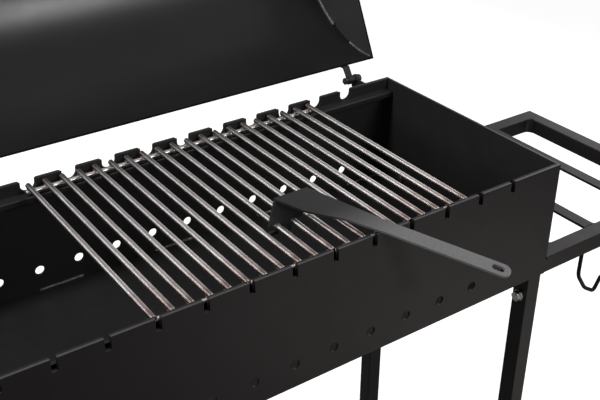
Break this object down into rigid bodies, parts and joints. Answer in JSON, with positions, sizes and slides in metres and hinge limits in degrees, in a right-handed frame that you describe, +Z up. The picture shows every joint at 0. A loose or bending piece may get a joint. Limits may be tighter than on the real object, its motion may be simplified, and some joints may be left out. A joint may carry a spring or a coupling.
{
  "type": "barrel charcoal grill",
  "caption": "Charcoal skewer grill: sheet-steel trough on square-tube legs with slotted walls, a lift-out rod grate, an open barrel-arc lid on rear hinges and a side shelf with hooks",
  "frame": {"origin": "on the floor under the middle of the whole grill's box, lid open, shelf and lifter included", "axes": "+Z up, +X towards the side shelf along the trough, front wall towards -Y, lid hinged at +Y"},
  "size_m": [1.331, 0.7116, 1.1832],
  "materials": {
    "powder_coat": "black satin powder coat with a fine texture",
    "handle_bar": "black satin powder coat",
    "bare_rod": "bright drawn steel rod with brown heat tint at the welds",
    "lifter_steel": "dark grey mottled powder coat",
    "zinc": "bright zinc plating",
    "dark_fastener": "black oxide and overspray",
    "hook_wire": "black gloss powder coat on wire",
    "foot_plastic": "black moulded plastic"
  },
  "bodies": {
    "firebox": {"end_brace_left": "powder_coat", "end_brace_right": "powder_coat", "end_wall_left": "powder_coat", "end_wall_right": "powder_coat", "floor_pan": "powder_coat", "foot_plug_front_left": "foot_plastic", "foot_plug_front_right": "foot_plastic", "foot_plug_rear_left": "foot_plastic", "foot_plug_rear_right": "foot_plastic", "front_wall": "powder_coat", "hinge_bolts": "dark_fastener", "hinge_ear_left": "powder_coat", "hinge_ear_right": "powder_coat", "hinge_nuts": "dark_fastener", "hinge_washers": "dark_fastener", "leg_bolts": "zinc", "leg_front_left": "powder_coat", "leg_front_right": "powder_coat", "leg_nuts": "zinc", "leg_rear_left": "powder_coat", "leg_rear_right": "powder_coat", "leg_stubs": "powder_coat", "leg_washers": "zinc", "rail_front": "powder_coat", "rail_rear": "powder_coat", "rear_wall": "powder_coat", "shelf_bolts": "dark_fastener", "shelf_front_tube": "powder_coat", "shelf_inner_tube": "powder_coat", "shelf_nuts": "dark_fastener", "shelf_outer_tube": "powder_coat", "shelf_rear_tube": "powder_coat", "shelf_slat_inner": "powder_coat", "shelf_slat_outer": "powder_coat", "shelf_washers": "dark_fastener"},
    "lid": {"hinge_strap_left": "powder_coat", "hinge_strap_right": "powder_coat", "lid_end_left": "powder_coat", "lid_end_right": "powder_coat", "lid_handle": "handle_bar", "lid_shell": "powder_coat"},
    "grate": {"grate_rods": "bare_rod", "grate_cross_rods": "bare_rod"},
    "lifter": {"grate_lifter": "lifter_steel"},
    "hook_one": {"hook_1": "hook_wire"},
    "hook_two": {"hook_2": "hook_wire"},
    "hook_three": {"hook_3": "hook_wire"}
  },
  "joints": [
    {"name": "lid_hinge", "type": "hinge", "parent": "firebox", "child": "lid", "pos_m": [0, 0.12756, 0.85], "axis": [-1, 0, 0], "range_deg": [-115, 0]},
    {"name": "grate_lift", "type": "slide", "parent": "firebox", "child": "grate", "axis": [0, 0, 1], "range_m": [0, 0.25]},
    {"name": "lifter_unhook", "type": "slide", "parent": "grate", "child": "lifter", "axis": [0, -1, 0], "range_m": [0, 0.05]},
    {"name": "hook_1_swivel", "type": "hinge", "parent": "firebox", "child": "hook_one", "pos_m": [0.4225, -0.23194, 0.682], "axis": [0, 0, 1], "range_deg": [-160, 160]},
    {"name": "hook_2_swivel", "type": "hinge", "parent": "firebox", "child": "hook_two", "pos_m": [0.4975, -0.23194, 0.682], "axis": [0, 0, 1], "range_deg": [-160, 160]},
    {"name": "hook_3_swivel", "type": "hinge", "parent": "firebox", "child": "hook_three", "pos_m": [0.5725, -0.23194, 0.682], "axis": [0, 0, 1], "range_deg": [-160, 160]}
  ]
}
